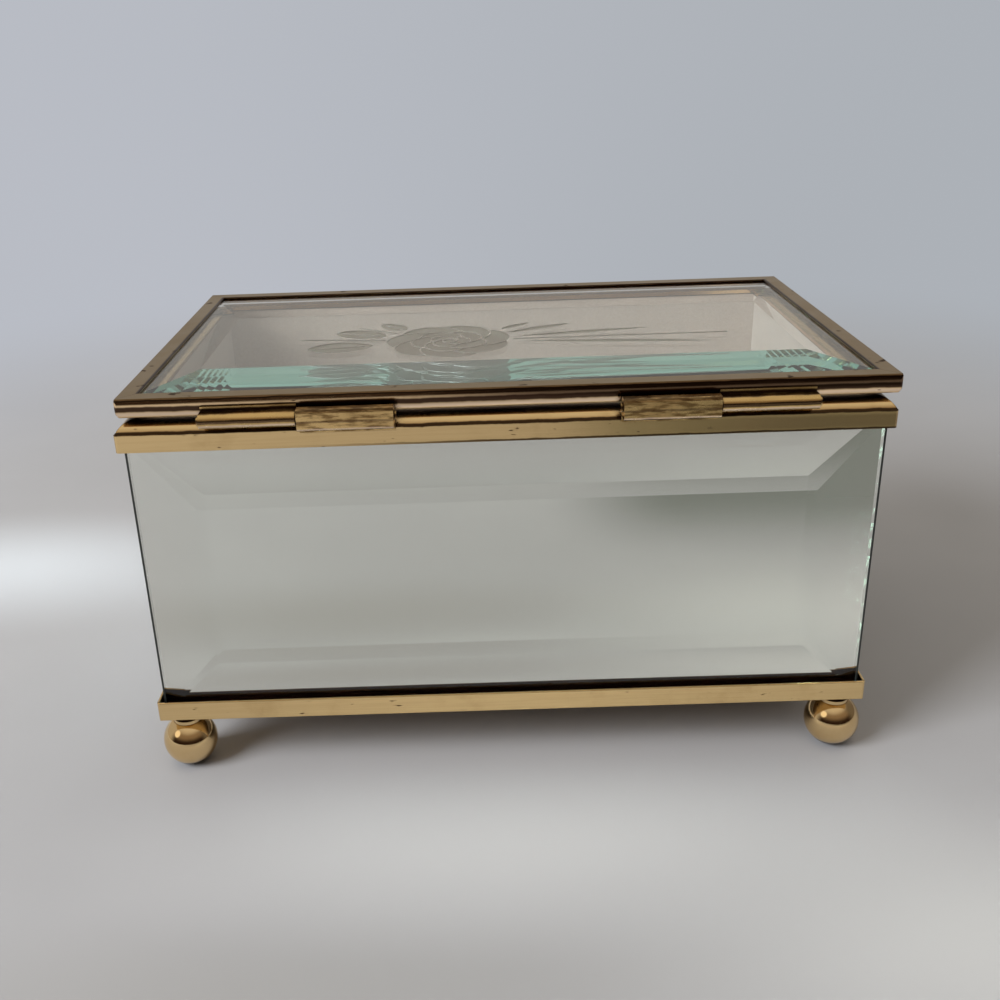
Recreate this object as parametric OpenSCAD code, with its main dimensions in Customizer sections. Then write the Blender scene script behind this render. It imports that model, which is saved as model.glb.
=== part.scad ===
// Glass casket box: four bevelled mirror panes in brass rails on ball feet, lined inside,
// under a hinged lid of clear bevelled glass engraved with a rose spray.
// The box stands on Z = 0 and its hinges face -Y. Left is -X and right is +X.

/* [Body] */
// Width across the outer faces of the rails
body_w = 153.2; // [124:0.2:220]
// Depth across the outer faces of the rails
body_d = 95.7; // [84:0.1:140]
// Height of pane that shows between the rails
glass_show_h = 57.6; // [40:0.2:90]

/* [Panes] */
// Thickness of a side pane
pane_t = 4.8; // [4:0.1:6]
// Thickness left at a side pane's ground edge
pane_edge_t = 2; // [1.4:0.1:2.4]
// How far the flat of a pane stands out from the rails
pane_proud = 0.6; // [0.4:0.1:1.2]
// Bevel width along a pane's upright edges
pane_bevel_side = 13.1; // [6:0.1:15]
// Bevel width along a pane's top edge
pane_bevel_top = 13.6; // [6:0.1:18]
// Bevel width along a pane's bottom edge
pane_bevel_bottom = 13.7; // [12:0.1:16]
// How far a pane reaches up behind the top rail's face
pane_tuck = 1.25; // [0.6:0.05:2.5]
// Width of the sealant on a long pane's upright edge
seal_w = 0.4; // [0.3:0.05:1]
// Clearance of that sealant from the top rails inside
seal_clear = 0.3; // [0.1:0.05:0.8]

/* [Mirror coat and lining] */
// Thickness of the silvering with its backing paint
silver_t = 0.15; // [0.1:0.01:0.3]
// Thickness of a lining board
lining_t = 2; // [0.6:0.1:3]
// Thickness of the bottom board
base_t = 2.4; // [1.6:0.1:4]
// Thickness of the soft pad along its edge
pad_t = 3; // [1.5:0.1:6]
// How much higher the pad is in its middle
pad_crown = 1.2; // [0.4:0.1:3]
// Corner radius of the pad
pad_corner_r = 3; // [2:0.1:8]
// How far the pad's sides are drawn in between its corners
pad_draw = 0.5; // [0.2:0.1:2]

/* [Brass rails] */
// Thickness of the sheet that the rails and leaves are bent from
sheet_t = 0.6; // [0.4:0.05:0.8]
// Height of a bottom rail's face
bottom_rail_h = 4.4; // [3.6:0.1:5.4]
// Width of a bottom rail's flange under the box
bottom_rail_w = 10; // [9:0.1:14]
// Height of a top rail's flat face
top_rail_face_h = 3.6; // [3:0.1:5]
// Height of the rounded shoulder above that face
top_rail_shoulder_h = 2.4; // [2:0.05:3.5]
// Radius of that shoulder
top_rail_shoulder_r = 4; // [3.6:0.1:6]
// Width of the ledge between the face and the shoulder
top_rail_ledge = 0.25; // [0.1:0.05:0.4]
// Height of a top rail's inner lip
top_rail_lip_h = 2.4; // [1.5:0.1:3.5]
// Radius of the rails' outer corners in plan
rail_corner_r = 0.8; // [0.4:0.1:1.4]

/* [Lid] */
// How far the lid stands out from the rails, or in from them where it is negative
lid_over = -0.3; // [-0.6:0.05:0.6]
// How far the lid sits off the middle, to the right
lid_shift = 0.6; // [0:0.05:1]
// Height of the lid's channel
lid_frame_h = 3.9; // [3.6:0.1:6]
// Sheet thickness of the lid's channel
lid_sheet_t = 0.5; // [0.4:0.05:0.7]
// Depth of the channel's wall where its face bulges most
lid_wall_t = 0.85; // [0.75:0.05:1.2]
// Radius of the channel's bulged face
lid_face_r = 4.2; // [4:0.1:12]
// How far above mid-height that face bulges most
lid_bulge_up = 0.3; // [0:0.05:0.5]
// Width of the flange on top of the glass
lid_flange_top = 4.1; // [2.5:0.1:6]
// Width of the flange under the glass
lid_flange_under = 3.4; // [2.5:0.1:6]
// Thickness of the lid's glass
lid_glass_t = 3; // [2.2:0.1:3]
// Thickness left at the lid glass's ground edge
lid_glass_edge_t = 1.2; // [0.8:0.1:1.6]
// Bevel width along the lid glass's long edges
lid_bevel_long = 23.6; // [10:0.1:28]
// Bevel width along the lid glass's short edges
lid_bevel_short = 10.9; // [8:0.1:20]
// Gap between the lid's channel and the top rails
lid_gap = 0.95; // [0.3:0.05:1.4]

/* [Engraving] */
// Depth of the engraving
cut_depth = 0.12; // [0.05:0.01:0.3]
// Radius of the rose
rose_r = 14; // [8:0.5:15]
// Width of the clear lines between petals
petal_line = 0.4; // [0.2:0.05:0.8]
// Place of the rose's middle from the lid's middle
rose_at = [-11.5, -8.5]; // [-30:0.5:30]
// Width of the stems
stem_w = 0.6; // [0.3:0.1:1.2]

/* [Hinges] */
// Distance of each hinge's middle from the end panes' outer faces
hinge_inset = 36.5; // [26:0.1:50]
// Length of one knuckle
knuckle_l = 18.6; // [8:0.1:22]
// Radius of the tube on the lid
lid_knuckle_r = 1.5; // [1.2:0.05:1.7]
// Radius of the wrapped knuckle on the box
box_knuckle_r = 2.15; // [1.6:0.05:2.4]
// Radius of that knuckle's two front corners
box_knuckle_corner_r = 0.7; // [0.3:0.05:1]
// Radius of the hinge pins
pin_r = 0.6; // [0.4:0.05:0.7]
// Clearance of the lid's face from the wrapped knuckle
knuckle_clear = 0.6; // [0.4:0.05:0.9]
// Drop of the hinge axis below the lid's channel
axis_drop = 0.25; // [0:0.05:0.4]
// Height of the lid leaf that shows on the lid's face
lid_leaf_h = 2.1; // [1.2:0.1:3]
// How far the box leaf reaches below the rail's shoulder
box_leaf_drop = 0.3; // [0.2:0.1:2.5]

/* [Feet] */
// Diameter of a ball foot
ball_d = 11.8; // [8:0.2:18]
// Diameter of the flat that a ball stands on
ball_land_d = 3; // [1:0.1:4]
// Distance of a ball's middle from the end rails' and the long rails' outer faces
ball_inset = [5, 4.6]; // [4:0.1:7]
// Height of the stepped stud between ball and rail
stud_h = 2.4; // [1.8:0.1:4]
// Diameter of the stud's ring on the ball
stud_seat_d = 6.2; // [3.4:0.1:7]
// Height of that ring
stud_seat_h = 0.8; // [0.4:0.05:0.9]
// Diameter of the stud's neck
stud_neck_d = 4; // [2.6:0.1:5]
// Diameter of the stud's disc under the rail
stud_disc_d = 5.4; // [4:0.1:8]
// Height of that disc
stud_disc_h = 0.6; // [0.4:0.05:0.8]
// Diameter of the stud's spigots
spigot_d = 2; // [1.4:0.1:2.6]
// Length of the spigot in the ball
spigot_l = 4.2; // [2:0.1:5]

/* [Hidden] */
$fn = 64;

// Steps of the pad's skin: round each corner, along each side, up its edge, and over its crown
pad_corner_steps = 3;
pad_side_steps = 7;
pad_edge_steps = 4;
pad_crown_steps = 6;

// Corners, as signs along X and Y
REAR_LEFT = [-1, -1];
REAR_RIGHT = [1, -1];
FRONT_LEFT = [-1, 1];
FRONT_RIGHT = [1, 1];

brass = [0.80, 0.62, 0.36];
worn_brass = [0.70, 0.52, 0.27];
mirror_glass = [0.70, 0.74, 0.72];
clear_glass = [0.60, 0.78, 0.76, 0.5];
silver = [0.85, 0.86, 0.86];
beige = [0.72, 0.63, 0.57];
dark_seal = [0.08, 0.09, 0.08];

// Clearances: of pieces that lie on each other, of a pin in a bore, of the pad from the lining,
// and a cutter's overrun
seat = 0.03;
fit = 0.05;
pad_gap = 0.3;
over = 1;

// Levels, upwards from the table
ball_r = ball_d / 2;
ball_z = sqrt(pow(ball_r, 2) - pow(ball_land_d / 2, 2));
stud_z = ball_z + sqrt(pow(ball_r, 2) - pow(stud_seat_d / 2, 2));
rail_z = stud_z + stud_h;
floor_z = rail_z + sheet_t + seat;
show_z = rail_z + bottom_rail_h;
top_rail_z = show_z + glass_show_h;
top_rail_h = top_rail_face_h + top_rail_shoulder_h;
rim_z = top_rail_z + top_rail_h;
lid_z = rim_z + lid_gap;
pane_h = top_rail_z + pane_tuck - floor_z;
lining_z = floor_z + base_t + seat;
lining_h = rim_z - sheet_t - 2 * seat - lining_z;

// Half widths and half depths
rail_half = [body_w / 2, body_d / 2];
glass_half = [for (h = rail_half) h + pane_proud];
lid_half = [for (h = rail_half) h + lid_over];
lid_glass_half = [for (h = lid_half) h - lid_wall_t - fit];
silver_in = pane_t + seat;
lining_in = silver_in + silver_t + seat;
room_in = lining_in + lining_t;
top_rail_w = room_in - pane_proud + seat + sheet_t;
seal_half_l = rail_half[0] - sheet_t - top_rail_ledge - seal_clear;
ball_half = [for (i = [0, 1]) rail_half[i] - ball_inset[i] + ball_r];
pad_half = [for (h = glass_half) h - room_in - pad_gap];

// The lid's channel, upwards from its underside: its bulge, and the glass on top of its inner lip.
// The glass is bevelled below, so the lip's height follows the steeper bevel.
lid_bulge_z = lid_frame_h / 2 + lid_bulge_up;
lid_glass_top = lid_frame_h - lid_sheet_t - seat;
lid_glass_slope = (lid_glass_t - lid_glass_edge_t) / min(lid_bevel_long, lid_bevel_short);
lid_lip_u = lid_flange_under - lid_wall_t - fit;
lid_lip_h = lid_glass_top - lid_glass_edge_t - lid_glass_slope * lid_lip_u - seat;

// The hinge axis, with the wrapped knuckle clear of the lid's bulged face
hinge_z = lid_z - axis_drop;
hinge_reach = box_knuckle_r + knuckle_clear + lid_face_r;
hinge_out = sqrt(pow(hinge_reach, 2) - pow(lid_bulge_z + axis_drop, 2)) - lid_face_r;
hinge_y = -lid_half[1] - hinge_out;
hinge_x = glass_half[0] - hinge_inset;
bore_r = pin_r + fit;
knuckle_gap = 0.3;
head_r = pin_r + 0.3;
head_t = 0.35;
head_gap = 0.1;

// How far the object reaches to each side of the glass's middle; the middle of that is the origin
reach = [for (i = [0, 1]) max(glass_half[i], ball_half[i], lid_half[i])];
reach_left = max(glass_half[0], ball_half[0], lid_half[0] - lid_shift);
reach_right = max(reach[0], lid_half[0] + lid_shift);
reach_rear = max(reach[1], box_knuckle_r - hinge_y);
reach_front = reach[1];
middle = [(reach_left - reach_right) / 2, (reach_rear - reach_front) / 2, 0];

module placed() translate(middle) children();

module lid_placed() placed() translate([lid_shift, 0, 0]) children();

// A side is named "rear", "right", "front" or "left", and is drawn as the rear side, then turned
function is_long(side) = side == "rear" || side == "front";
function turn(side) = is_long(side) ? (side == "rear" ? 0 : 180) : (side == "right" ? 90 : -90);

// Half length along a side, and how far its face is from the middle
function along(side, half) = is_long(side) ? half[0] : half[1];
function outward(side, half) = is_long(side) ? half[1] : half[0];

// Rectangle from its corner, with all corners round
module round_bar(size, r) {
    translate([r, 0]) square([size[0] - 2 * r, size[1]]);
    translate([0, r]) square([size[0], size[1] - 2 * r]);
    for (x = [r, size[0] - r], y = [r, size[1] - r]) translate([x, y]) circle(r);
}

// Outline of a frame seen from above, with round corners
module footprint(half, r) {
    translate(-half) round_bar(2 * half, r);
}

// A profile, drawn inwards from the outer face and upwards, swept along the rear side
module swept(half_l, half_out) {
    translate([0, -half_out, 0])
        rotate([90, 0, 90])
            linear_extrude(2 * half_l, center = true) children();
}

// One side of a mitred frame
module mitred(side, half, band, h) {
    half_l = along(side, half);
    half_out = outward(side, half);
    turned = is_long(side) ? half : [half[1], half[0]];
    rotate([0, 0, turn(side)])
        intersection() {
            swept(half_l, half_out) children();
            linear_extrude(h)
                intersection() {
                    footprint(turned, rail_corner_r);
                    polygon([
                        [-half_l + seat, -half_out],
                        [half_l - seat, -half_out],
                        [half_l - band - seat, band - half_out],
                        [band + seat - half_l, band - half_out]
                    ]);
                }
        }
}

// What is ground off along one edge of a pane, the edge lying along X at Y = 0
module bevel_cutter(len, bevel, t, edge_t) {
    slope = (t - edge_t) / bevel;
    rotate([90, 0, 90])
        linear_extrude(len + 2 * over, center = true)
            polygon([[-bevel, t], [over, edge_t - slope * over], [over, t + over], [-bevel, t + over]]);
}

// Pane lying on its back, w wide along X and h along Y from Y = 0, with its bevels on top
module bevelled(w, h, t, edge_t, side, bottom, top) {
    difference() {
        translate([-w / 2, 0, 0]) cube([w, h, t]);
        translate([0, h, 0]) bevel_cutter(w, top, t, edge_t);
        rotate([0, 0, 180]) bevel_cutter(w, bottom, t, edge_t);
        for (s = [-1, 1])
            translate([s * w / 2, h / 2, 0]) rotate([0, 0, -s * 90]) bevel_cutter(h, side, t, edge_t);
    }
}

// The long panes span the box inside the rails, and the end panes stand between them
function pane_half_l(side) = is_long(side) ? seal_half_l - seal_w - fit : glass_half[1] - lining_in;

module pane(side) {
    color(mirror_glass)
        placed()
            rotate([0, 0, turn(side)])
                translate([0, pane_t - outward(side, glass_half), floor_z])
                    rotate([90, 0, 0])
                        bevelled(2 * pane_half_l(side), pane_h, pane_t, pane_edge_t,
                                 pane_bevel_side, pane_bevel_bottom, pane_bevel_top);
}

module silvering(side) {
    half_l = pane_half_l(side);
    color(silver)
        placed()
            rotate([0, 0, turn(side)])
                translate([-half_l, silver_in - outward(side, glass_half), floor_z])
                    cube([2 * half_l, silver_t, pane_h]);
}

module lining(side) {
    half_l = along(side, glass_half) - (is_long(side) ? lining_in : room_in) - seat;
    color(beige)
        placed()
            rotate([0, 0, turn(side)])
                translate([-half_l, lining_in - outward(side, glass_half), lining_z])
                    cube([2 * half_l, lining_t, lining_h]);
}

// Sealant on a long pane's upright edge and in the notch beside the end pane's bevel
module corner_seal(corner) {
    notch_l = 1;
    recess = pane_t - pane_edge_t;
    x_edge = seal_half_l - seal_w;
    x_in = glass_half[0] - recess + 2 * fit + notch_l * recess / pane_bevel_side;
    y_face = glass_half[1] - recess;
    y_back = glass_half[1] - lining_in;
    color(dark_seal)
        placed()
            mirror([corner[0] < 0 ? 1 : 0, 0, 0])
                mirror([0, corner[1] < 0 ? 1 : 0, 0])
                    translate([0, 0, floor_z])
                        linear_extrude(pane_h)
                            polygon([
                                [x_edge, y_face],
                                [seal_half_l, y_face],
                                [seal_half_l, y_back - notch_l],
                                [x_in, y_back - notch_l],
                                [x_in, y_back],
                                [x_edge, y_back]
                            ]);
}

// Angle of a bottom rail: face and flange, inwards from the face
module bottom_rail_profile() {
    edge_r = sheet_t / 3;
    round_bar([sheet_t, bottom_rail_h], edge_r);
    round_bar([bottom_rail_w, sheet_t], edge_r);
}

// The long bottom rails run through, with a hole for each foot, and the short ones stand between
module bottom_rail(side) {
    half_l = along(side, rail_half);
    half_out = outward(side, rail_half);
    color(brass)
        placed()
            translate([0, 0, rail_z])
                rotate([0, 0, turn(side)])
                    if (is_long(side))
                        difference() {
                            intersection() {
                                swept(half_l, half_out) bottom_rail_profile();
                                linear_extrude(bottom_rail_h) footprint(rail_half, rail_corner_r);
                            }
                            for (s = [-1, 1])
                                translate([s * (half_l - ball_inset[0]), ball_inset[1] - half_out, -over])
                                    cylinder(h = sheet_t + 2 * over, r = spigot_d / 2 + fit);
                        }
                    else
                        difference() {
                            swept(half_l - sheet_t - seat, half_out) bottom_rail_profile();
                            for (s = [-1, 1])
                                translate([s * half_l, -half_out + bottom_rail_w / 2, 0])
                                    cube([2 * (bottom_rail_w + seat), bottom_rail_w + 2 * over,
                                          2 * (sheet_t + seat)], center = true);
                        }
}

// Inverted channel of a top rail: face, ledge, round shoulder, top and inner lip
module top_rail_profile() {
    r = top_rail_shoulder_r;
    low_z = top_rail_h - r;
    shoulder_x = top_rail_ledge + sqrt(pow(r, 2) - pow(r - top_rail_shoulder_h, 2));
    difference() {
        union() {
            square([top_rail_w, top_rail_face_h]);
            translate([shoulder_x, 0]) square([top_rail_w - shoulder_x, top_rail_h]);
            intersection() {
                translate([shoulder_x, low_z]) circle(r, $fn = 96);
                translate([0, top_rail_face_h]) square([top_rail_w, top_rail_shoulder_h]);
            }
        }
        translate([sheet_t + top_rail_ledge, -over])
            square([top_rail_w - 2 * sheet_t - top_rail_ledge, top_rail_face_h + over]);
        translate([shoulder_x, -over])
            square([top_rail_w - sheet_t - shoulder_x, top_rail_h - sheet_t + over]);
        intersection() {
            translate([shoulder_x, low_z]) circle(r - sheet_t, $fn = 96);
            translate([0, top_rail_face_h - over]) square([top_rail_w - sheet_t, top_rail_shoulder_h + over]);
            translate([sheet_t + top_rail_ledge, 0]) square([top_rail_w, top_rail_h]);
        }
        translate([top_rail_w - sheet_t - over, -over])
            square([sheet_t + 2 * over, top_rail_h - top_rail_lip_h + over]);
    }
}

module top_rail(side) {
    color(brass)
        placed()
            translate([0, 0, top_rail_z])
                mitred(side, rail_half, top_rail_w + over, top_rail_h) top_rail_profile();
}

// Channel of the lid's frame: bulged face, flange over the glass, and flange with a lip under it
module lid_frame_profile() {
    edge_r = lid_sheet_t / 2;
    wide = max(lid_flange_top, lid_flange_under);
    difference() {
        intersection() {
            round_bar([wide, lid_frame_h], edge_r);
            translate([lid_face_r, lid_bulge_z]) circle(lid_face_r, $fn = 96);
        }
        translate([lid_wall_t, lid_sheet_t])
            square([wide, lid_frame_h - 2 * lid_sheet_t]);
        translate([lid_flange_top, lid_frame_h / 2]) square([wide, lid_frame_h]);
        translate([lid_flange_under, -over]) square([wide, lid_frame_h / 2 + over]);
    }
    translate([lid_flange_under - lid_sheet_t, edge_r])
        square([lid_sheet_t, lid_lip_h - edge_r]);
}

module lid_frame(side) {
    color(brass)
        lid_placed()
            translate([0, 0, lid_z])
                mitred(side, lid_half, max(lid_flange_top, lid_flange_under) + over, lid_frame_h)
                    lid_frame_profile();
}

// Leaf shape between two arcs, lying along X from its stalk
module leaf_shape(len, wide) {
    r = (pow(len, 2) + pow(wide, 2)) / (4 * wide);
    translate([len / 2, 0])
        intersection_for(s = [-1, 1])
            translate([0, s * (r - wide / 2)]) circle(r, $fn = 96);
}

// Leaf with its middle vein left clear
module veined_leaf(len, wide) {
    difference() {
        leaf_shape(len, wide);
        translate([len / 8, -petal_line / 2]) square([len, petal_line]);
    }
}

// Petals as full circles around the rose's middle, all drawn larger by grow
module petal_circles(ring, steps, grow) {
    petal_r = ring[1] * ring[2];
    for (i = steps)
        rotate(ring[3] + i * 360 / ring[0])
            translate([ring[1] - petal_r, 0]) circle(petal_r + grow);
}

// Rings of petals, outermost first. Each petal is tucked under the next ones and under the rings inside.
module rose_shape() {
    // Petals in the ring, the ring's radius, a petal's share of that, and the first petal's angle
    rings = [[7, rose_r, 0.5, 20], [5, rose_r * 0.6, 0.56, 48], [3, rose_r * 0.32, 0.62, 10]];
    heart_r = rose_r / 12;
    for (k = [0 : len(rings) - 1], i = [0 : rings[k][0] - 1])
        difference() {
            petal_circles(rings[k], [i], 0);
            petal_circles(rings[k], [i + 1 : i + floor(rings[k][0] / 2)], petal_line);
            if (k + 1 < len(rings))
                petal_circles(rings[k + 1], [0 : rings[k + 1][0] - 1], petal_line);
            circle(heart_r + petal_line);
        }
    circle(heart_r);
}

// Rose with a stem, broad leaves to the left and narrow blades to the right
module spray() {
    translate(rose_at) {
        rose_shape();
        for (leaf = [[158, 13, 7.5, 1.5], [187, 15, 8.5, 3], [132, 9, 5, 1]])
            rotate(leaf[0]) translate([rose_r + leaf[3], 0]) veined_leaf(leaf[1], leaf[2]);
        for (blade = [[24, 16, 2.4, 1], [8, 30, 2.2, 2], [-7, 40, 2.0, 4], [38, 9, 2.0, 1]])
            rotate(blade[0]) translate([rose_r + blade[3], 0]) leaf_shape(blade[1], blade[2]);
        for (stem = [[172, 20], [0, 48], [146, 11]])
            rotate(stem[0]) translate([rose_r + 0.5, -stem_w / 2]) square([stem[1], stem_w]);
    }
}

// The lid's glass lies with its bevels down, and its flat top is engraved
module lid_glass() {
    size = 2 * lid_glass_half;
    color(clear_glass)
        lid_placed()
            translate([0, 0, lid_z + lid_glass_top])
                difference() {
                    translate([0, -lid_glass_half[1], 0])
                        mirror([0, 0, 1])
                            bevelled(size[0], size[1], lid_glass_t, lid_glass_edge_t,
                                     lid_bevel_short, lid_bevel_long, lid_bevel_long);
                    translate([0, 0, -cut_depth]) linear_extrude(over) spray();
                }
}

// Places a hinge's children on its axis, their outer knuckle away from the box's middle
module hinge(hand) {
    placed()
        translate([lid_shift + hand * hinge_x, hinge_y, hinge_z])
            mirror([hand < 0 ? 1 : 0, 0, 0]) children();
}

// A profile in Y and Z drawn from the axis, as long as a knuckle
module knuckle_body() {
    rotate([90, 0, 90]) linear_extrude(knuckle_l) children();
}

// Tube and bent leaf on the lid's rear face
module hinge_lid_leaf(hand) {
    face_y = hinge_out - seat;
    color(brass)
        hinge(hand)
            translate([knuckle_gap / 2, 0, 0])
                knuckle_body()
                    difference() {
                        union() {
                            circle(lid_knuckle_r);
                            translate([0, lid_knuckle_r - sheet_t]) square([face_y, sheet_t]);
                            translate([face_y - sheet_t, lid_knuckle_r - sheet_t])
                                square([sheet_t, axis_drop + lid_leaf_h - lid_knuckle_r + sheet_t]);
                        }
                        circle(bore_r);
                    }
}

// Wrapped knuckle with a square front, and its leaf on the top rail's face.
// The lid's face comes to lie against the upper front corner when it is wide open.
module hinge_box_leaf(hand) {
    r = box_knuckle_r;
    rail_y = hinge_out + lid_over - seat;
    leaf_low = hinge_z - (top_rail_z + top_rail_face_h) + box_leaf_drop;
    color(worn_brass)
        hinge(hand)
            translate([-knuckle_gap / 2 - knuckle_l, 0, 0])
                knuckle_body()
                    difference() {
                        union() {
                            circle(r);
                            intersection() {
                                translate([-r, -r]) round_bar([2 * r, 2 * r], box_knuckle_corner_r);
                                translate([-r, -r]) square([r, 2 * r]);
                            }
                            translate([rail_y - sheet_t, -leaf_low]) square([sheet_t, leaf_low]);
                            translate([0, -r]) square([rail_y - sheet_t / 2, sheet_t]);
                        }
                        circle(bore_r);
                    }
}

module hinge_pin(hand) {
    half_l = knuckle_gap / 2 + knuckle_l + head_gap;
    color(worn_brass)
        hinge(hand)
            rotate([0, 90, 0]) {
                cylinder(h = 2 * half_l + head_t, r = pin_r, center = true);
                for (s = [-1, 1])
                    translate([0, 0, s * (half_l + head_t / 2)])
                        cylinder(h = head_t, r = head_r, center = true);
            }
}

module base_panel() {
    half = [for (h = glass_half) h - lining_in - fit];
    color(beige)
        placed()
            translate([-half[0], -half[1], floor_z]) cube([2 * half[0], 2 * half[1], base_t]);
}

// One level of the pad's skin: a rectangle with round corners and drawn-in sides
function pad_loop(inset, z) =
    let (
        h = [pad_half[0] - inset, pad_half[1] - inset],
        r = max(pad_corner_r - inset, pad_corner_r / 10),
        c = [h[0] - r, h[1] - r]
    )
    [
        for (q = [0 : 3], i = [0 : pad_corner_steps + pad_side_steps - 1])
            let (
                a = 90 * (q + min(i / pad_corner_steps, 1)),
                run = max(i - pad_corner_steps, 0) / pad_side_steps,
                from = [q == 0 || q == 3 ? c[0] : -c[0], q < 2 ? c[1] : -c[1]],
                x = from[0] + r * cos(a) - 2 * c[0] * run * sin(a),
                y = from[1] + r * sin(a) + 2 * c[1] * run * cos(a)
            )
            [
                x * (1 - pad_draw / h[0] * cos(90 * y / h[1])),
                y * (1 - pad_draw / h[1] * cos(90 * x / h[0])),
                z
            ]
    ];

// Soft pad with a round edge and a crown
module base_pad() {
    edge_r = pad_t / 2;
    reach_in = pad_half[1] - edge_r - pad_corner_r;
    edge = [
        for (i = [0 : pad_edge_steps])
            let (a = 180 * i / pad_edge_steps - 90)
            [edge_r * (1 - cos(a)), edge_r * (1 + sin(a))]
    ];
    crown = [
        for (i = [1 : pad_crown_steps])
            let (share = pow(i / pad_crown_steps, 1.5))
            [edge_r + reach_in * share, pad_t + pad_crown * (1 - pow(1 - share, 3))]
    ];
    levels = concat(edge, crown);
    count = 4 * (pad_corner_steps + pad_side_steps);
    last = len(levels) - 1;
    skin = [for (level = levels) each pad_loop(level[0], level[1])];
    under = len(skin);
    summit = under + 1;
    color(beige)
        placed()
            translate([0, 0, lining_z])
                polyhedron(
                    points = concat(skin, [[0, 0, 0]], [[0, 0, pad_t + pad_crown]]),
                    faces = [
                        for (i = [0 : count - 1])
                            let (j = (i + 1) % count)
                            each [
                                [i, j, under],
                                [last * count + j, last * count + i, summit],
                                for (k = [0 : last - 1]) each [
                                    [k * count + j, k * count + i, (k + 1) * count + i],
                                    [k * count + j, (k + 1) * count + i, (k + 1) * count + j]
                                ]
                            ]
                    ]
                );
}

module at_foot(corner) {
    placed()
        translate([
            corner[0] * (rail_half[0] - ball_inset[0]),
            corner[1] * (rail_half[1] - ball_inset[1]),
            0
        ]) children();
}

// Turned stud: spigot in the ball, seat, neck, disc, and a spigot riveted in the rail
module foot_stud(corner) {
    color(brass)
        at_foot(corner) {
            translate([0, 0, stud_z - spigot_l])
                cylinder(h = spigot_l + stud_h + sheet_t, r = spigot_d / 2);
            translate([0, 0, stud_z + seat]) cylinder(h = stud_seat_h, r = stud_seat_d / 2 - seat);
            translate([0, 0, stud_z + seat]) cylinder(h = stud_h - 2 * seat, r = stud_neck_d / 2);
            translate([0, 0, rail_z - seat - stud_disc_h])
                cylinder(h = stud_disc_h, r = stud_disc_d / 2);
        }
}

// Ball with a flat to stand on, a flat for the stud's seat, and a bore for its spigot
module foot_ball(corner) {
    bore_depth = spigot_l + 5 * fit;
    color(brass)
        at_foot(corner)
            difference() {
                translate([0, 0, ball_z]) sphere(ball_r, $fn = 96);
                translate([0, 0, -ball_r]) cube([ball_d, ball_d, ball_d], center = true);
                translate([0, 0, stud_z + ball_r]) cube([ball_d, ball_d, ball_d], center = true);
                translate([0, 0, stud_z - bore_depth])
                    cylinder(h = bore_depth + over, r = spigot_d / 2 + fit);
            }
}

lid_glass();
lid_frame("rear");  // lid_frame_rear
lid_frame("front");  // lid_frame_front
lid_frame("left");  // lid_frame_left
lid_frame("right");  // lid_frame_right
hinge_lid_leaf(-1);  // hinge_left_lid_leaf
hinge_lid_leaf(1);  // hinge_right_lid_leaf
hinge_box_leaf(-1);  // hinge_left_box_leaf
hinge_box_leaf(1);  // hinge_right_box_leaf
hinge_pin(-1);  // hinge_left_pin
hinge_pin(1);  // hinge_right_pin
top_rail("rear");  // top_rail_rear
top_rail("front");  // top_rail_front
top_rail("left");  // top_rail_left
top_rail("right");  // top_rail_right
pane("rear");  // pane_rear
pane("front");  // pane_front
pane("left");  // pane_left
pane("right");  // pane_right
silvering("rear");  // silvering_rear
silvering("front");  // silvering_front
silvering("left");  // silvering_left
silvering("right");  // silvering_right
lining("rear");  // lining_rear
lining("front");  // lining_front
lining("left");  // lining_left
lining("right");  // lining_right
corner_seal(REAR_LEFT);  // corner_seal_rear_left
corner_seal(REAR_RIGHT);  // corner_seal_rear_right
corner_seal(FRONT_LEFT);  // corner_seal_front_left
corner_seal(FRONT_RIGHT);  // corner_seal_front_right
bottom_rail("rear");  // bottom_rail_rear
bottom_rail("front");  // bottom_rail_front
bottom_rail("left");  // bottom_rail_left
bottom_rail("right");  // bottom_rail_right
base_panel();
base_pad();
foot_stud(REAR_LEFT);  // foot_stud_rear_left
foot_stud(REAR_RIGHT);  // foot_stud_rear_right
foot_stud(FRONT_LEFT);  // foot_stud_front_left
foot_stud(FRONT_RIGHT);  // foot_stud_front_right
foot_ball(REAR_LEFT);  // foot_ball_rear_left
foot_ball(REAR_RIGHT);  // foot_ball_rear_right
foot_ball(FRONT_LEFT);  // foot_ball_front_left
foot_ball(FRONT_RIGHT);  // foot_ball_front_right
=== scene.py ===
import math

import bpy
from mathutils import Matrix, Vector


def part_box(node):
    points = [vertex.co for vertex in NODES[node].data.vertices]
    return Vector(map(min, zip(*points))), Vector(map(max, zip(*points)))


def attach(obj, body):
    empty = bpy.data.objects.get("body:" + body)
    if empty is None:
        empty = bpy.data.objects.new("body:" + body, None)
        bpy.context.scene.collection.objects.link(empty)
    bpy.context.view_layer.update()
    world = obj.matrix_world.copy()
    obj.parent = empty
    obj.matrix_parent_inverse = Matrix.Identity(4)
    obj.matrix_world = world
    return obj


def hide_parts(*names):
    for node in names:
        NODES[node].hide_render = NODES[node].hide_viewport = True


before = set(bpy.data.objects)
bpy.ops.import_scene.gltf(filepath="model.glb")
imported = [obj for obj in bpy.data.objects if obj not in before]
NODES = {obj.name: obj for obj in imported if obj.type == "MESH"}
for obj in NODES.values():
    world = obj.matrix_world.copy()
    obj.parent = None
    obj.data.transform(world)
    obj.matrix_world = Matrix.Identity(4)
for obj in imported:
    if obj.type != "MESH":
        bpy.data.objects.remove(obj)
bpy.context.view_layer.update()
MM = 0.001


def rgb(red, green, blue):
    return (red, green, blue, 1.0)


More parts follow.
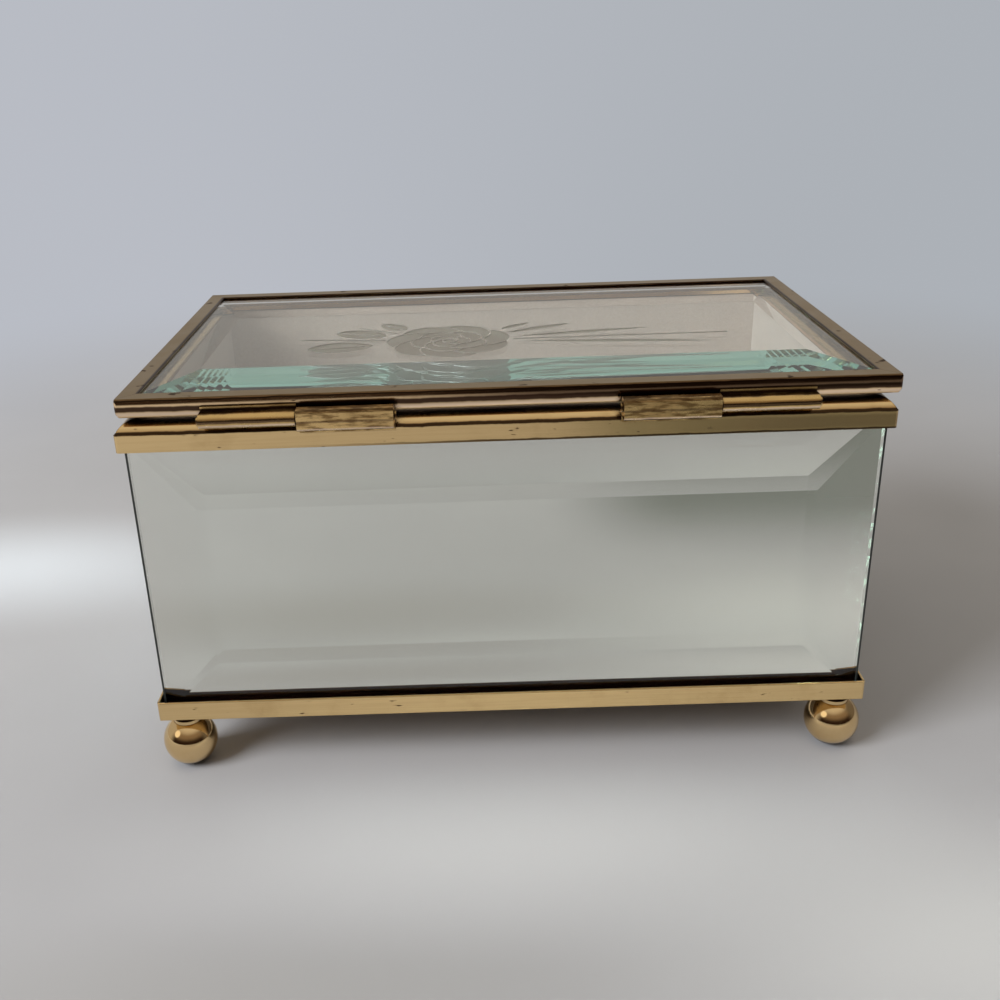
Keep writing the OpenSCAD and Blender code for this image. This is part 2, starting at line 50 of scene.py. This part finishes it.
# From the frame: the middle of the glass body, two opposite corners of the lid, and the levels of
# the lid's top, of the box's rim and of the hinge pins
rear_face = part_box("pane_rear")[0].y
front_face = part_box("pane_front")[1].y
GLASS_MIDDLE = Vector((0, (rear_face + front_face) / 2, 0))
LID_LOW, LID_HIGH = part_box("lid_frame_left")[0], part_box("lid_frame_right")[1]
LID_TOP = LID_HIGH.z
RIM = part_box("top_rail_rear")[1].z
HINGE_AXIS = (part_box("hinge_left_pin")[0].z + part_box("hinge_left_pin")[1].z) / 2

# The photograph's camera: picture size and focal length in pixels, middle of the lens in the
# picture, angles in degrees, and its place from the glass body's middle at the lid's top
PICTURE = 1000
FOCAL = 1112.2
LENS_MIDDLE = (464.9, 506.7)
PITCH, YAW, ROLL = 22.86, -0.42, 2.03
CAMERA_PLACE = Vector((-6.887, -253.342, 62.106)) * MM
SENSOR = 36
NEAREST, FARTHEST = 0.01, 20

# The backdrop's colours at its left and right, the right one darker by painted shade, and the
# room's, which show in glass and brass
BACKDROP_LEFT = rgb(0.485, 0.505, 0.555)
BACKDROP_RIGHT = rgb(0.415, 0.440, 0.475)
WALL = rgb(0.47, 0.45, 0.42)
SHADE = rgb(0.16, 0.14, 0.12)
GLOOM = rgb(0.028, 0.017, 0.012)
BROWN = rgb(0.26, 0.20, 0.15)
CEILING = rgb(0.64, 0.60, 0.54)
WINDOW_GLOW = rgb(1.15, 1.05, 0.90)

# Where one of those colours turns into the next, as shares of a direction to the right, backwards
# or up, and for the window's glow as cosines of the angle from the window
BACKDROP_TURN = (-0.45, 0.45)
SHADE_TURN = (0.3, 0.9)
BACK_TURN = (0.05, 0.55)
BROWN_TURN = (0.15, 0.55)
CEILING_TURN = (0.55, 0.9)
GLOW_TURN = (0.965, 0.985)

# The window: its place, and as a lamp its size, power, colour and what it is aimed at
WINDOW_PLACE = Vector((-0.90, -0.56, 0.70))
LAMP_SIZE = (0.55, 0.6)
LAMP_POWER = 14.5
LAMP_COLOUR = (0.95, 0.98, 1.03)
LAMP_AIM = Vector((0, 0, 0.04))

# The table: half its length, how far from the box it fades into the backdrop, its two tones, and
# its soft patches of painted light and painted shade, by middle, half lengths and colour
FLOOR_REACH = 9.0
BACKDROP_FADE = (0.17, 0.50)
TABLE_TONES = (rgb(0.455, 0.455, 0.465), rgb(0.48, 0.48, 0.49))
PAINTED_LIGHT_AND_SHADE = [
    ((-0.155, 0.062), (0.100, 0.050), rgb(0.76, 0.80, 0.84)),
    ((-0.040, -0.112), (0.120, 0.028), rgb(0.41, 0.405, 0.40)),
    ((0.005, -0.074), (0.110, 0.034), rgb(0.62, 0.62, 0.62)),
    ((0.090, -0.105), (0.090, 0.045), rgb(0.64, 0.645, 0.64)),
]

# A painted shadow on the table, a dark card that only reflections show: near left and far right
# corners, height, tone, and how far in from its left and far edges it is full
PAINTED_SHADOW_CARD = ((0.015, -0.40), (0.30, -0.135))
PAINTED_SHADOW_HEIGHT = MM
PAINTED_SHADOW_TONE = rgb(0.21, 0.215, 0.195)
PAINTED_SHADOW_FADE = (0.05, 0.055)

# Most values of a noise lie between these
MOST = (0.3, 0.7)

# Noises of the brass: scale, detail and roughness. Those with a scale of one take a place that is
# first stretched along each axis, by the scales given here or in the call.
CLOUD = (90, 5.0, 0.6)
PITS = (1400, 2.0)
DRAWN = (1.0, 4.0, 0.6)
WANDERING = (1.0, 4.0, 0.65)
WANDERING_SCALE = (170, 170, 30)
SPECKS = (1.0, 2.0)
SPECKS_SCALE = (260, 260, 900)

# Brass: values of their noises at which clouds of tarnish, drawn grain and specks set in, the
# clouds' share, the grain's roughness, how far the clouds spread a brass's roughness, depth and
# strength of the grain and the pits, and how round the edges look
CLOUD_TURN, CLOUD_SHARE = (0.5, 0.8), 0.5
DRAWN_TURN, DRAWN_ROUGH = (0.42, 0.62), 0.05
SPECKS_TURN = (0.68, 0.74)
GLOSS_SPREAD = (0.6, 1.5)
GRAIN_DEPTH, GRAIN_STRENGTH = 0.012 * MM, 0.4
PIT_DEPTH, PIT_STRENGTH = 0.008 * MM, 0.3
EDGE_RADIUS = 0.12 * MM

# Grime and painted shade: their colour and roughness, how near walls make a crevice, and the open
# shares at which the grime and painted shade in crevices start and are full
DIRT_AND_SHADE = rgb(0.030, 0.010, 0.006)
DIRT_AND_SHADE_ROUGH = 0.3
CREVICE_REACH = 2.6 * MM
CREVICE_TURN = (0.80, 0.42)

# The lid's brushed flange: two tones, roughness, width, depths below the lid's top between which
# it starts, and distances from the glass between which its dark inner rim of painted shade ends
FLANGE_TONES = (rgb(0.24, 0.165, 0.085), rgb(0.40, 0.295, 0.165))
FLANGE_ROUGH = 0.22
FLANGE_W = 4.1 * MM
FLANGE_DEPTHS = (0.25 * MM, 0.1 * MM)
FLANGE_RIM = (0.75 * MM, 0.35 * MM)

# Painted reflections, highlights and shade as lines along the brass: how far their level wanders,
# the share of a half width that is full, and for each line its level, half width, colour, share,
# and the stretch of X over which it sets in, so that some are painted on the right half alone
# Colours of the painted dark reflections and of the pale painted highlights
PAINTED_DARK_REFLECTION = rgb(0.13, 0.075, 0.045)
PAINTED_HIGHLIGHT = rgb(0.95, 0.74, 0.58)
WANDER = 0.10 * MM
WANDER_TURN = (0.25, 0.75)
LINE_CORE = 0.45
RAIL_PAINTED_LINES = [
    (RIM - 2.2 * MM, 0.42 * MM, DIRT_AND_SHADE, 0.9, None),
    (RIM - 5.8 * MM, 0.32 * MM, DIRT_AND_SHADE, 0.85, (-0.05, 0.0)),
    (RIM - 4.2 * MM, 1.9 * MM, PAINTED_DARK_REFLECTION, 0.45, (0.02, 0.06)),
]
LID_PAINTED_LINES = [
    (LID_TOP - 1.1 * MM, 1.2 * MM, PAINTED_DARK_REFLECTION, 0.9, (-0.03, 0.01)),
    (LID_TOP - 2.15 * MM, 0.75 * MM, DIRT_AND_SHADE, 0.95, None),
    (LID_TOP - 3.2 * MM, 0.45 * MM, PAINTED_HIGHLIGHT, 0.6, None),
    (LID_TOP - 0.45 * MM, 0.22 * MM, DIRT_AND_SHADE, 0.8, None),
]
BOX_LEAF_PAINTED_LINES = [
    (HINGE_AXIS + 1.95 * MM, 0.25 * MM, DIRT_AND_SHADE, 0.8, None),
    (HINGE_AXIS - 0.20 * MM, 0.30 * MM, PAINTED_DARK_REFLECTION, 0.5, None),
    (HINGE_AXIS - 1.75 * MM, 0.30 * MM, PAINTED_HIGHLIGHT, 0.6, None),
    (HINGE_AXIS - 2.10 * MM, 0.24 * MM, DIRT_AND_SHADE, 0.9, None),
]
TUBE_PAINTED_LINES = [
    (HINGE_AXIS + 1.75 * MM, 0.40 * MM, DIRT_AND_SHADE, 0.9, None),
    (HINGE_AXIS + 0.15 * MM, 0.50 * MM, PAINTED_DARK_REFLECTION, 0.9, None),
    (HINGE_AXIS - 0.80 * MM, 0.40 * MM, PAINTED_HIGHLIGHT, 0.7, None),
    (HINGE_AXIS - 1.45 * MM, 0.28 * MM, DIRT_AND_SHADE, 0.9, None),
    (HINGE_AXIS - 2.00 * MM, 0.24 * MM, PAINTED_HIGHLIGHT, 0.6, None),
]

# Scales of the drawn grain: along X, along Y, across the rubbed box leaves, and on the balls
ALONG_X, ALONG_Y = (60, 2500, 2500), (2500, 60, 2500)
RUBBED, ALL_WAYS = (280, 1300, 1500), (300, 300, 300)

# Glass: colour, bending of light, and the engraving by depths below the top, distance from the
# edges, roughness, share of frost and frost's tones
CLEAR = rgb(1, 1, 1)
IOR = 1.52
ENGRAVED_DEPTHS = (0.3 * MM, 0.01 * MM)
ENGRAVED_MARGIN = 6 * MM
ENGRAVED_ROUGH = 0.35
FROST_SHARE = 0.55
FROST_TONES = (rgb(0.24, 0.21, 0.175), rgb(0.33, 0.29, 0.245))

SEALANT_TONES = (rgb(0.012, 0.014, 0.013), rgb(0.04, 0.045, 0.04))

# Scales of the noises on the table, the engraving, the silvering, the flock and the sealant, and
# depths of three of them
TABLE_CLOUDS, GROUND, HAZE, PILE, MATTED, LUMPS = 9.0, 2500, 60, 2600, 70, 900
GROUND_DEPTH, PILE_DEPTH, LUMP_DEPTH = 0.05 * MM, 0.12 * MM, 0.1 * MM

# The pad's cover: size of its faces before smoothing, how far a point may move, pressure inside
# and frames run
PAD_VOXEL = 1.2 * MM
PAD_CAP = 0.4 * MM
PAD_PRESSURE = 4
PAD_STEPS = 20

# Bounces of light: in mirrors and glass, on matt surfaces, through clear shadows, and in all
GLASS_BOUNCES, MATT_BOUNCES, SHADOW_BOUNCES, ALL_BOUNCES = 40, 4, 12, 44


def put(name, data):
    """A new object in the scene."""
    piece = bpy.data.objects.new(name, data)
    bpy.context.scene.collection.objects.link(piece)
    return piece


def sheet(name, low, high, level):
    """A flat rectangle that faces up, between a near left and a far right corner."""
    (x0, y0), (x1, y1) = low, high
    corners = [(x0, y0, level), (x1, y0, level), (x1, y1, level), (x0, y1, level)]
    mesh = bpy.data.meshes.new(name)
    mesh.from_pydata(corners, [], [(0, 1, 2, 3)])
    return put(name, mesh)


def make_camera():
    """A camera with the photograph's place, angles and framing."""
    pitch, yaw, roll = (math.radians(a) for a in (PITCH, YAW, ROLL))
    ahead = Vector((
        math.sin(yaw) * math.cos(pitch),
        math.cos(yaw) * math.cos(pitch),
        -math.sin(pitch),
    ))
    level = Vector((math.cos(yaw), -math.sin(yaw), 0))
    down = ahead.cross(level)
    right = level * math.cos(roll) + down * math.sin(roll)
    below = down * math.cos(roll) - level * math.sin(roll)
    data = bpy.data.cameras.new("camera")
    data.sensor_width = SENSOR
    data.lens = SENSOR * FOCAL / PICTURE
    data.shift_x = 0.5 - LENS_MIDDLE[0] / PICTURE
    data.shift_y = LENS_MIDDLE[1] / PICTURE - 0.5
    data.clip_start, data.clip_end = NEAREST, FARTHEST
    camera = put("camera", data)
    turned = Matrix((right, -below, -ahead)).transposed().to_4x4()
    place = GLASS_MIDDLE + CAMERA_PLACE + Vector((0, 0, LID_TOP))
    camera.matrix_world = Matrix.Translation(place) @ turned
    bpy.context.scene.camera = camera


class Shader:
    """A node tree that is built by short calls."""

    def __init__(self, owner):
        owner.use_nodes = True
        self.tree = owner.node_tree
        self.tree.nodes.clear()

    def add(self, kind, values=None, **settings):
        """A node of that kind, with its settings, and its inputs set or linked by name."""
        node = self.tree.nodes.new("ShaderNode" + kind)
        for name, value in settings.items():
            setattr(node, name, value)
        for name, value in (values or {}).items():
            self.feed(node.inputs[name], value)
        return node

    def feed(self, socket, value):
        """Links an input to another node's output, or sets its value."""
        if isinstance(value, bpy.types.NodeSocket):
            self.tree.links.new(value, socket)
        else:
            socket.default_value = value

    def place(self):
        return self.add("TexCoord").outputs["Object"]

    def axes(self, vector):
        """The vector's X, Y and Z, by name."""
        return self.add("SeparateXYZ", {"Vector": vector}).outputs

    def length(self, vector):
        return self.add("VectorMath", {"Vector": vector}, operation="LENGTH").outputs["Value"]

    def scaled(self, place, scale):
        """The place, stretched by a scale for each axis."""
        return self.add("Mapping", {"Vector": place, "Scale": scale}).outputs["Vector"]

    def noise(self, place, scale, detail=3.0, rough=0.55):
        node = self.add("TexNoise", {
            "Vector": place, "Scale": scale, "Detail": detail, "Roughness": rough,
        })
        return node.outputs["Fac"]

    def ramp(self, value, low, high, to_low=0.0, to_high=1.0):
        """The value's stretch from low to high, taken to another stretch and kept inside it."""
        node = self.add("MapRange", {
            "Value": value, "From Min": low, "From Max": high, "To Min": to_low, "To Max": to_high,
        }, interpolation_type="SMOOTHSTEP")
        return node.outputs["Result"]

    def math(self, operation, first, second=0.0):
        node = self.add("Math", operation=operation)
        self.feed(node.inputs[0], first)
        self.feed(node.inputs[1], second)
        return node.outputs["Value"]

    def plus(self, first, second):
        return self.math("ADD", first, second)

    def times(self, first, second):
        return self.math("MULTIPLY", first, second)

    def away(self, value, middle):
        """How far the value is from a middle."""
        return self.math("ABSOLUTE", self.math("SUBTRACT", value, middle))

    def ray(self, kind):
        """One for light paths of that kind, and nought for others."""
        return self.add("LightPath").outputs["Is " + kind + " Ray"]

    def mix(self, share, first, second):
        """A colour between two colours."""
        node = self.add("Mix", {"Factor": share}, data_type="RGBA")
        self.feed(node.inputs[6], first)
        self.feed(node.inputs[7], second)
        return node.outputs[2]

    def blend(self, share, first, second):
        """A surface between two surfaces."""
        node = self.add("MixShader", {"Fac": share})
        self.feed(node.inputs[1], first)
        self.feed(node.inputs[2], second)
        return node.outputs["Shader"]

    def bump(self, height, distance, strength=1.0, normal=None):
        values = {"Height": height, "Distance": distance, "Strength": strength}
        if normal is not None:
            values["Normal"] = normal
        return self.add("Bump", values).outputs["Normal"]

    def finish(self, surface, volume=None):
        out = self.add("OutputMaterial")
        self.feed(out.inputs["Surface"], surface)
        if volume is not None:
            self.feed(out.inputs["Volume"], volume)


def new_material(name):
    """A material and the node tree to fill."""
    material = bpy.data.materials.new(name)
    return material, Shader(material)


def backdrop(s, side):
    """The backdrop's colour, a little darker to the right by painted shade."""
    return s.mix(s.ramp(side, *BACKDROP_TURN), BACKDROP_LEFT, BACKDROP_RIGHT)


def make_world():
    """A room that glass and brass show: pale walls with the right one in shade, a dark side behind
    the camera, a ceiling, and the window's glow. The camera itself sees the backdrop."""
    world = bpy.data.worlds.new("room")
    bpy.context.scene.world = world
    s = Shader(world)
    direction = s.add("TexCoord").outputs["Generated"]
    axes = s.axes(direction)
    back = s.times(axes["Y"], -1.0)
    dark = s.mix(s.ramp(axes["Z"], *BROWN_TURN), GLOOM, BROWN)
    room = s.mix(s.ramp(axes["X"], *SHADE_TURN), WALL, SHADE)
    room = s.mix(s.ramp(back, *BACK_TURN), room, dark)
    room = s.mix(s.ramp(axes["Z"], *CEILING_TURN), room, CEILING)
    towards = s.add("VectorMath", {0: direction, 1: WINDOW_PLACE.normalized()},
                    operation="DOT_PRODUCT").outputs["Value"]
    room = s.mix(s.ramp(towards, *GLOW_TURN), room, WINDOW_GLOW)
    seen = s.mix(s.ray("Camera"), room, backdrop(s, axes["X"]))
    out = s.add("OutputWorld")
    s.feed(out.inputs["Surface"], s.add("Background", {"Color": seen}).outputs["Background"])


def patch(s, place, middle, reach):
    """One inside a soft patch of painted light and shade on the table, and nought outside."""
    shifted = s.add("Mapping", {
        "Vector": place, "Location": (-middle[0] / reach[0], -middle[1] / reach[1], 0),
        "Scale": (1 / reach[0], 1 / reach[1], 0),
    }).outputs["Vector"]
    return s.ramp(s.length(shifted), 1.0, 0.0)


def make_floor():
    """A wide pale table with soft patches of painted light and painted shade. Far away the camera
    sees it fade into the backdrop."""
    table = sheet("table", (-FLOOR_REACH, -FLOOR_REACH), (FLOOR_REACH, FLOOR_REACH), 0)
    material, s = new_material("table_paint")
    place = s.place()
    colour = s.mix(s.ramp(s.noise(place, TABLE_CLOUDS), 0.35, 0.65), *TABLE_TONES)
    # Patches of painted light, and one of painted shade
    for middle, reach, tone in PAINTED_LIGHT_AND_SHADE:
        colour = s.mix(patch(s, place, middle, reach), colour, tone)
    paint = s.add("BsdfPrincipled", {"Base Color": colour, "Roughness": 0.6})
    ahead = s.add("VectorMath", {"Vector": place}, operation="NORMALIZE").outputs["Vector"]
    glow = s.add("Emission", {"Color": backdrop(s, s.axes(ahead)["X"]), "Strength": 1.0})
    fade = s.times(s.ramp(s.length(place), *BACKDROP_FADE), s.ray("Camera"))
    s.finish(s.blend(fade, paint.outputs["BSDF"], glow.outputs["Emission"]))
    table.data.materials.append(material)


def make_painted_shadow():
    """A painted shadow: a dark card low in front of the right half, standing in for shade on the
    table, which shows in the mirrors and the brass alone.
    """
    painted_shadow = sheet("painted_shadow", *PAINTED_SHADOW_CARD, PAINTED_SHADOW_HEIGHT)
    left, far = PAINTED_SHADOW_CARD[0][0], PAINTED_SHADOW_CARD[1][1]
    material, s = new_material("painted_shadow_card")
    axes = s.axes(s.place())
    share = s.times(s.ramp(axes["X"], left, left + PAINTED_SHADOW_FADE[0]),
                    s.ramp(axes["Y"], far, far - PAINTED_SHADOW_FADE[1]))
    glow = s.add("Emission", {"Color": PAINTED_SHADOW_TONE})
    s.finish(s.blend(share, s.add("BsdfTransparent").outputs["BSDF"], glow.outputs["Emission"]))
    painted_shadow.data.materials.append(material)
    for ray in ("camera", "diffuse", "shadow"):
        setattr(painted_shadow, "visible_" + ray, False)


def make_lamp():
    """One broad lamp at the window's place. Reflections show the room's glow instead of it."""
    data = bpy.data.lights.new("window", "AREA")
    data.shape = "RECTANGLE"
    data.size, data.size_y = LAMP_SIZE
    data.energy = LAMP_POWER
    data.color = LAMP_COLOUR
    lamp = put("window", data)
    lamp.location = WINDOW_PLACE
    lamp.visible_glossy = False
    lamp.rotation_mode = "QUATERNION"
    lamp.rotation_quaternion = (LAMP_AIM - WINDOW_PLACE).to_track_quat("-Z", "Y")


def paint_light_lines(s, place, axes, shade, lines):
    """The brass's colour with painted reflections, highlights and shade as soft lines along it, whose
    level wanders a little.
    """
    wander = s.noise(s.scaled(place, WANDERING_SCALE), *WANDERING)
    level = s.plus(axes["Z"], s.ramp(wander, *WANDER_TURN, -WANDER, WANDER))
    for at, half, tone, share, start in lines:
        band = s.times(s.ramp(s.away(level, at), half, half * LINE_CORE), share)
        if start is not None:
            band = s.times(band, s.ramp(axes["X"], *start))
        shade = s.mix(band, shade, tone)
    return shade


def flange_tone(s, axes, drawn):
    """The brushed flange's colour, with painted shade as a dark rim beside the glass."""
    from_glass = []
    for axis, low, high in (("X", LID_LOW.x, LID_HIGH.x), ("Y", LID_LOW.y, LID_HIGH.y)):
        inner = (high - low) / 2 - FLANGE_W
        from_glass.append(s.math("SUBTRACT", s.away(axes[axis], (low + high) / 2), inner))
    rim = s.ramp(s.math("MAXIMUM", *from_glass), *FLANGE_RIM)
    return s.mix(rim, s.mix(drawn, *FLANGE_TONES), DIRT_AND_SHADE)


def brass(name, colour, dull, rough, grain, lines=(), flange=False, specks=0.8, wear=0.12):
    """Polished brass with drawn grain, tarnish, pits and specks, with grime and painted shade in its
    crevices, painted reflections, highlights and shade as lines along it, and with the lid's brushed
    flange where asked. Specks and wear are the shares of specks and of dull grain."""
    material, s = new_material(name)
    place = s.place()
    axes = s.axes(place)
    cloud = s.noise(place, *CLOUD)
    drawn = s.noise(s.scaled(place, grain), *DRAWN)
    shade = s.mix(s.ramp(cloud, *CLOUD_TURN, 0.0, CLOUD_SHARE), colour, dull)
    shade = s.mix(s.ramp(drawn, *DRAWN_TURN, 0.0, wear), shade, dull)
    shade = paint_light_lines(s, place, axes, shade, lines)
    gloss = s.plus(s.ramp(cloud, *MOST, rough * GLOSS_SPREAD[0], rough * GLOSS_SPREAD[1]),
                   s.ramp(drawn, *MOST, 0.0, DRAWN_ROUGH))
    if flange:
        above = s.ramp(axes["Z"], LID_TOP - FLANGE_DEPTHS[0], LID_TOP - FLANGE_DEPTHS[1])
        shade = s.mix(above, shade, flange_tone(s, axes, drawn))
        gloss = s.plus(gloss, s.times(above, FLANGE_ROUGH))
    # Crevices get grime and painted shade by how open they are; specks are dirt
    open_share = s.add("AmbientOcclusion", {"Distance": CREVICE_REACH}, samples=8).outputs["AO"]
    spots = s.noise(s.scaled(place, SPECKS_SCALE), *SPECKS)
    dirt_and_shade = s.math("MAXIMUM", s.ramp(open_share, *CREVICE_TURN),
                   s.ramp(spots, *SPECKS_TURN, 0.0, specks))
    edge = s.add("Bevel", {"Radius": EDGE_RADIUS}, samples=4).outputs["Normal"]
    normal = s.bump(drawn, GRAIN_DEPTH, GRAIN_STRENGTH, edge)
    metal = s.add("BsdfPrincipled", {
        "Base Color": s.mix(dirt_and_shade, shade, DIRT_AND_SHADE), "Metallic": 1.0,
        "Roughness": s.plus(gloss, s.times(dirt_and_shade, DIRT_AND_SHADE_ROUGH)),
        "Normal": s.bump(s.noise(place, *PITS), PIT_DEPTH, PIT_STRENGTH, normal),
    })
    s.finish(metal.outputs["BSDF"])
    return material


def clear_for_lamps(s, glass, tint):
    """Glass whose shadow is light, because lamps shine through it."""
    veil = s.add("BsdfTransparent", {"Color": tint})
    return s.blend(s.ray("Shadow"), glass, veil.outputs["BSDF"])


def pane_glass():
    """Polished float glass, slightly green in its depth."""
    material, s = new_material("pane_glass")
    glass = s.add("BsdfGlass", {"Color": CLEAR, "Roughness": 0.0, "IOR": IOR})
    body = s.add("VolumeAbsorption", {"Color": rgb(0.30, 0.92, 0.72), "Density": 5.0})
    lit = clear_for_lamps(s, glass.outputs["BSDF"], rgb(0.92, 0.96, 0.94))
    s.finish(lit, body.outputs["Volume"])
    return material


def lid_glass():
    """Clear glass, green along its length, with grey matt engraving in its flat top. The engraving
    is known by its depth below the top and its distance from the edges."""
    material, s = new_material("lid_glass")
    low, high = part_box("lid_glass")
    middle, reach = (low + high) / 2, (high - low) / 2
    place = s.place()
    axes = s.axes(place)
    deepest, shallowest = ENGRAVED_DEPTHS
    inside = s.times(s.math("LESS_THAN", axes["Z"], high.z - shallowest),
                     s.math("GREATER_THAN", axes["Z"], high.z - deepest))
    for axis, at, half in (("X", middle.x, reach.x), ("Y", middle.y, reach.y)):
        near = s.math("LESS_THAN", s.away(axes[axis], at), half - ENGRAVED_MARGIN)
        inside = s.times(inside, near)
    ground = s.noise(place, GROUND)
    glass = s.add("BsdfGlass", {
        "Color": CLEAR, "Roughness": s.times(inside, ENGRAVED_ROUGH), "IOR": IOR,
        "Normal": s.bump(s.times(ground, inside), GROUND_DEPTH, 0.6),
    })
    frost = s.add("BsdfDiffuse", {"Color": s.mix(ground, *FROST_TONES)})
    cut = s.blend(s.times(inside, FROST_SHARE), glass.outputs["BSDF"], frost.outputs["BSDF"])
    body = s.add("VolumeAbsorption", {"Color": rgb(0.045, 0.867, 0.69), "Density": 9.0})
    s.finish(clear_for_lamps(s, cut, rgb(0.93, 0.97, 0.96)), body.outputs["Volume"])
    return material


def mirror_silver():
    """Silvering behind the panes, with a little haze."""
    material, s = new_material("mirror_silver")
    haze = s.ramp(s.noise(s.place(), HAZE), 0.4, 0.8, 0.0, 0.03)
    metal = s.add("BsdfPrincipled", {
        "Base Color": rgb(0.87, 0.865, 0.81), "Metallic": 1.0, "Roughness": haze,
    })
    s.finish(metal.outputs["BSDF"])
    return material


def flock(name, colour, deep):
    """Matt flock: short soft pile with a light sheen, darker between the pile and in patches."""
    material, s = new_material(name)
    place = s.place()
    pile = s.noise(place, PILE, 4.0, 0.7)
    tone = s.mix(s.ramp(pile, *MOST), deep, colour)
    tone = s.mix(s.ramp(s.noise(place, MATTED), 0.35, 0.75, 0.0, 0.3), tone, deep)
    felt = s.add("BsdfPrincipled", {
        "Base Color": tone, "Roughness": 0.95, "Sheen Weight": 0.35, "Sheen Roughness": 0.5,
        "Normal": s.bump(pile, PILE_DEPTH, 0.7),
    })
    s.finish(felt.outputs["BSDF"])
    return material


def sealant():
    """Dark lumpy sealant."""
    material, s = new_material("sealant")
    lumps = s.noise(s.place(), LUMPS)
    rubber = s.add("BsdfPrincipled", {
        "Base Color": s.mix(lumps, *SEALANT_TONES),
        "Roughness": s.ramp(lumps, *MOST, 0.35, 0.6),
        "Normal": s.bump(lumps, LUMP_DEPTH, 0.7),
    })
    s.finish(rubber.outputs["BSDF"])
    return material


def settle(piece):
    """Takes a piece's modifiers into its mesh."""
    graph = bpy.context.evaluated_depsgraph_get()
    graph.update()
    mesh = bpy.data.meshes.new_from_object(piece.evaluated_get(graph))
    piece.modifiers.clear()
    piece.data = mesh


def blow_up(piece):
    """Runs the cover as cloth under pressure, without gravity."""
    cover = piece.modifiers.new("cover", "CLOTH").settings
    cover.use_pressure = True
    cover.uniform_pressure_force = PAD_PRESSURE
    cover.effector_weights.gravity = 0
    for step in range(1, PAD_STEPS + 1):
        bpy.context.scene.frame_set(step)


def make_pad(material):
    """The loose pad. Its cover is blown up as cloth, and no point leaves its place by more than a
    cap or sinks below the pad's underside."""
    cad = NODES["base_pad"]
    pad = put("velvet_pad", cad.data.copy())
    remesh = pad.modifiers.new("even_faces", "REMESH")
    remesh.mode = "VOXEL"
    remesh.voxel_size = PAD_VOXEL
    settle(pad)
    rest = [v.co.copy() for v in pad.data.vertices]
    blow_up(pad)
    settle(pad)
    underside = min(p.z for p in rest)
    for vertex, start in zip(pad.data.vertices, rest):
        shift = vertex.co - start
        if shift.length > PAD_CAP:
            vertex.co = start + shift * (PAD_CAP / shift.length)
        vertex.co.z = max(vertex.co.z, underside)
    smooth = pad.modifiers.new("smooth", "SUBSURF")
    smooth.levels = smooth.render_levels = 1
    pad.data.shade_smooth()
    pad.data.materials.clear()
    pad.data.materials.append(material)
    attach(pad, "box")
    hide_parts("base_pad")


def dress(material, *names):
    """Gives CAD nodes their material."""
    for name in names:
        for slot in NODES[name].material_slots:
            slot.material = material


def names_of(start):
    return [name for name in NODES if name.startswith(start)]


def make_brass():
    """Brass for the rails, the lid's frame, the hinges and the feet."""
    gold, lid_gold, tube_gold = rgb(0.82, 0.59, 0.29), rgb(0.86, 0.62, 0.36), rgb(0.72, 0.49, 0.20)
    leaf_gold, ball_gold = rgb(0.80, 0.55, 0.24), rgb(0.80, 0.58, 0.30)
    dull, worn, ball_dull = rgb(0.50, 0.31, 0.12), rgb(0.26, 0.15, 0.055), rgb(0.62, 0.39, 0.15)
    rail_x = brass("rail_brass_long", gold, dull, 0.12, ALONG_X, RAIL_PAINTED_LINES)
    rail_y = brass("rail_brass_short", gold, dull, 0.12, ALONG_Y, RAIL_PAINTED_LINES[:1])
    lid_x = brass("lid_brass_long", lid_gold, dull, 0.10, ALONG_X, LID_PAINTED_LINES, flange=True)
    lid_y = brass("lid_brass_short", lid_gold, dull, 0.10, ALONG_Y, LID_PAINTED_LINES[1:], flange=True)
    tube = brass("hinge_tube_brass", tube_gold, worn, 0.22, ALONG_X, TUBE_PAINTED_LINES)
    leaf = brass("hinge_leaf_brass", leaf_gold, worn, 0.28, RUBBED, BOX_LEAF_PAINTED_LINES, wear=0.9)
    ball = brass("ball_brass", ball_gold, ball_dull, 0.05, ALL_WAYS, specks=0.0)
    for start, long_one, short_one in (
        ("top_rail_", rail_x, rail_y), ("bottom_rail_", rail_x, rail_y), ("lid_frame_", lid_x, lid_y),
    ):
        dress(long_one, start + "rear", start + "front")
        dress(short_one, start + "left", start + "right")
    for hand in ("left", "right"):
        dress(tube, "hinge_" + hand + "_lid_leaf", "hinge_" + hand + "_pin")
        dress(leaf, "hinge_" + hand + "_box_leaf")
    dress(ball, *names_of("foot_"))


def make_glass_and_lining():
    """Glass, silvering, sealant, lining, board and pad."""
    dress(pane_glass(), *names_of("pane_"))
    dress(mirror_silver(), *names_of("silvering_"))
    dress(lid_glass(), "lid_glass")
    dress(sealant(), *names_of("corner_seal_"))
    lining = flock("lining_flock", rgb(0.50, 0.39, 0.325), rgb(0.38, 0.29, 0.235))
    dress(lining, *names_of("lining_"))
    dress(flock("board_cover", rgb(0.36, 0.30, 0.26), rgb(0.27, 0.22, 0.19)), "base_panel")
    make_pad(flock("pad_velvet", rgb(0.54, 0.42, 0.345), rgb(0.41, 0.31, 0.245)))


def set_light_paths():
    """Light in the lid's glass is thrown from face to face many times before it leaves."""
    cycles = bpy.context.scene.cycles
    cycles.max_bounces = ALL_BOUNCES
    cycles.glossy_bounces = cycles.transmission_bounces = GLASS_BOUNCES
    cycles.diffuse_bounces = MATT_BOUNCES
    cycles.transparent_max_bounces = SHADOW_BOUNCES


make_camera()
make_world()
make_floor()
make_painted_shadow()
make_lamp()
make_brass()
make_glass_and_lining()
set_light_paths()
bpy.context.scene.view_settings.view_transform = "Standard"
